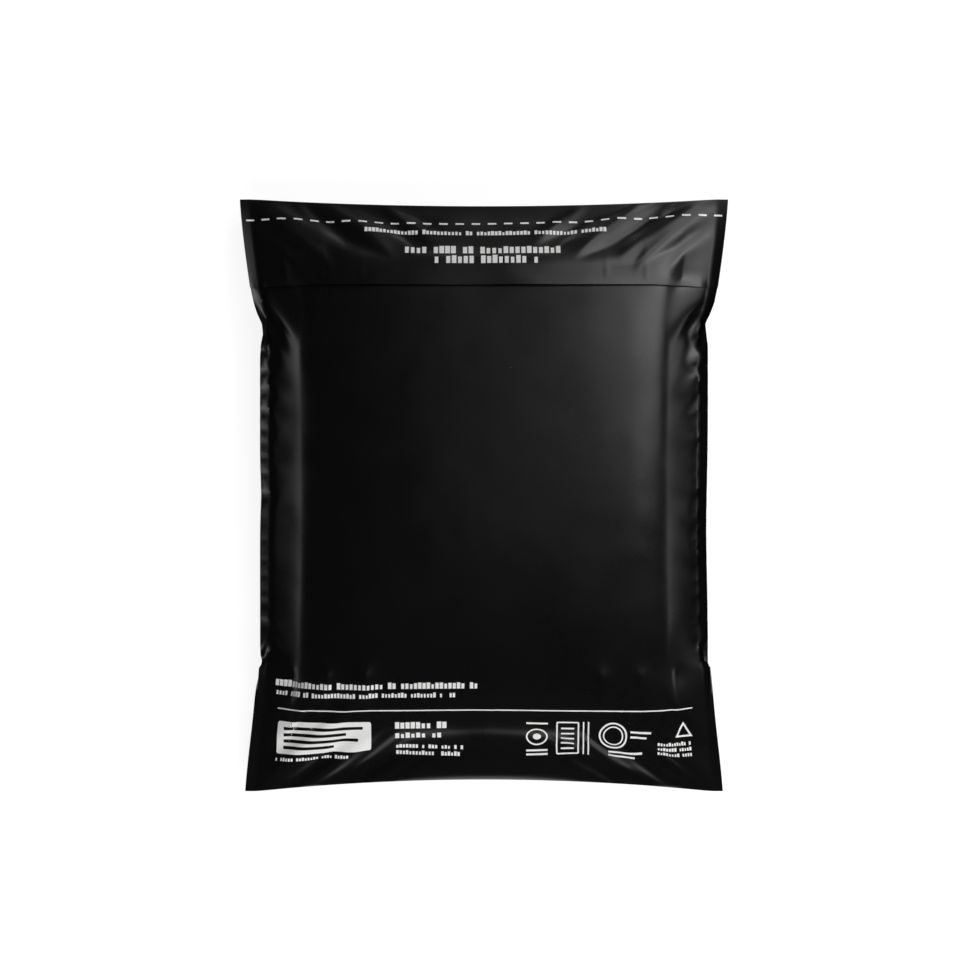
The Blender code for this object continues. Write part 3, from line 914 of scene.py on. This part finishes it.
# %% [markdown]
# ## The rule, the panel and the marks
# Below the middle of the front runs a thin white rule, and under it stand a white panel and a row of
# small plain marks. They are drawn flat with two helpers: a filled outline, and a band along an
# outline. A big flat face can't bend, so all shapes are then cut into cells of 1.5 mm, which can.

# %% Flat shapes for the marks
CELL = 0.0015
MITRE_LIMIT = 0.3  # keeps a sharp corner of a band from reaching far inside
SAME_VERTEX = 1e-7  # metres; corners nearer than this are one


def arc(x, y, radius, start=0, end=360, corners=32):
    """Points along a circle, in millimetres."""
    return [(x + radius * math.cos(math.radians(a)), y + radius * math.sin(math.radians(a)))
            for a in np.linspace(start, end, corners, endpoint=end - start < 360)]


def box_corners(left, right, low, high, radius=0.0):
    """The outline of a box with rounded corners, in millimetres."""
    if not radius:
        return [(left, low), (right, low), (right, high), (left, high)]
    centres = ((right - radius, high - radius, 0), (left + radius, high - radius, 90),
               (left + radius, low + radius, 180), (right - radius, low + radius, 270))
    return [point for x, y, turn in centres for point in arc(x, y, radius, turn, turn + 90, 5)]


def fill(bm, points):
    """A filled outline."""
    bm.faces.new([bm.verts.new((x / 1000, y / 1000, 0)) for x, y in points])


def band(bm, points, thickness):
    """A band of some thickness inside a closed outline that goes round anticlockwise."""
    count = len(points)
    inner = []
    for k in range(count):
        before, here, after = (Vector(points[(k + step) % count]) for step in (-1, 0, 1))
        one = (here - before).normalized()
        two = (after - here).normalized()
        inward = Vector((-one.y - two.y, one.x + two.x)).normalized()
        inner.append(here + inward * thickness / max(inward.dot(Vector((-one.y, one.x))), MITRE_LIMIT))
    for k in range(count):
        m = (k + 1) % count
        fill(bm, (points[k], points[m], inner[m], inner[k]))


def cut_into_cells(bm):
    """Cuts flat shapes along a square grid, so that they can follow curved film."""
    bmesh.ops.remove_doubles(bm, verts=bm.verts, dist=SAME_VERTEX)
    for axis in (0, 1):
        places = [vert.co[axis] for vert in bm.verts]
        for k in range(math.ceil(min(places) / CELL), math.floor(max(places) / CELL) + 1):
            point, normal = [0.0] * 3, [0.0] * 3
            point[axis], normal[axis] = k * CELL, 1.0
            near = [face for face in bm.faces
                    if min(v.co[axis] for v in face.verts) < k * CELL < max(v.co[axis] for v in face.verts)]
            parts = set(near) | {e for f in near for e in f.edges} | {v for f in near for v in f.verts}
            if near:
                bmesh.ops.bisect_plane(bm, geom=list(parts), dist=SAME_VERTEX, plane_co=point,
                                       plane_no=normal)


def flat_mesh(name, draw):
    """A flat mesh with what a drawing function puts in it, cut into cells."""
    bm = bmesh.new()
    draw(bm)
    cut_into_cells(bm)
    bmesh.ops.recalc_face_normals(bm, faces=bm.faces)
    if bm.faces[:] and sum(face.normal.z for face in bm.faces) < 0:
        bmesh.ops.reverse_faces(bm, faces=bm.faces)
    mesh = bpy.data.meshes.new(name + "_flat")
    bm.to_mesh(mesh)
    bm.free()
    return mesh


# %% Places of the rule, the panel and the marks
# Millimetres from the middle of the film: left, right, low and high of a box and the radius of its
# corners, or the middle and the radius of a circle
RULE = (-138.0, 139.0, -134.8, -134.0)
PANEL = (-136.5, -73.5, -163.8, -142.2, 1.6)
PANEL_BARS = [(-132.0, right, foot, foot + 2.1)
              for right, foot in ((-79.0, -147.8), (-90.0, -152.1), (-82.0, -156.4), (-98.0, -160.7))]
ROUND_MARK, ROUND_MARK_LINE = (34.3, -154.8, 7.2), 1.1
ROUND_MARK_DOT = (34.3, -154.8, 2.7)
ROUND_MARK_BARS = [(27.3, 41.3, foot, foot + 1.3) for foot in (-144.2, -166.2, -168.9)]
TALL_MARK, TALL_MARK_LINE = (46.8, 61.8, -168.9, -142.0, 1.2), 1.0
TALL_MARK_BARS = [(50.0, 58.6, foot, foot + 1.3) for foot in (-147.7, -152.1, -156.5, -160.9, -165.3)]
UPRIGHT_RULES = [(64.2, 65.1, -168.9, -142.0), (67.4, 68.3, -168.9, -142.0)]
DOUBLE_RING = (((84.0, -151.6, 9.4), 1.2), ((84.0, -151.6, 6.7), 0.9))
DOUBLE_RING_BARS = [(left, right, foot, foot + 1.5) for left, right, foot in (
    (95.5, 109.0, -149.9), (95.5, 106.0, -153.7), (81.0, 103.0, -164.6), (81.0, 98.0, -167.8))]
TRIANGLE, TRIANGLE_LINE = ((125.6, -152.6), (138.0, -152.6), (131.8, -142.6)), 1.2
print("Bars among the marks:", len(ROUND_MARK_BARS + TALL_MARK_BARS + DOUBLE_RING_BARS))


# %% Rule, panel and marks
def fill_boxes(bm, boxes):
    """A filled box for each set of its sides."""
    for box in boxes:
        fill(bm, box_corners(*box))


def draw_marks(bm):
    """The rule, the panel and the row of small marks, in white."""
    fill_boxes(bm, (RULE, PANEL))
    band(bm, arc(*ROUND_MARK), ROUND_MARK_LINE)
    fill(bm, arc(*ROUND_MARK_DOT, corners=20))
    fill_boxes(bm, ROUND_MARK_BARS)
    band(bm, box_corners(*TALL_MARK), TALL_MARK_LINE)
    fill_boxes(bm, TALL_MARK_BARS + UPRIGHT_RULES)
    for ring, line in DOUBLE_RING:
        band(bm, arc(*ring), line)
    fill_boxes(bm, DOUBLE_RING_BARS)
    band(bm, TRIANGLE, TRIANGLE_LINE)


def draw_panel_marks(bm):
    """Plain bars on the panel, in film black."""
    fill_boxes(bm, PANEL_BARS)


marks = printed("printed_rule_and_marks", lay, {
    "Film": bag, "Middle": FRONT_MIDDLE, "Lift": INK_LIFT, "Ink": ink_white},
    flat_mesh("marks", draw_marks))
panel_marks = printed("panel_marks", lay, {
    "Film": bag, "Middle": FRONT_MIDDLE, "Lift": 2 * INK_LIFT, "Ink": film_black},
    flat_mesh("panel_marks", draw_panel_marks))
print("Marks:", len(marks.data.polygons) + len(panel_marks.data.polygons), "faces")

# %% [markdown]
# ## Handing over to the frame
# Each piece rides on the bag's one body. The film stands for the plain CAD solid, which is then no
# longer shown. The film is a skin that is kept full by what is in it.

# %% Riding on the body, and the CAD solid hidden
for piece in (bag, flap, cut_line, flap_print, body_print, marks, panel_marks):
    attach(piece, "root")
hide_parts("mailer_bag")
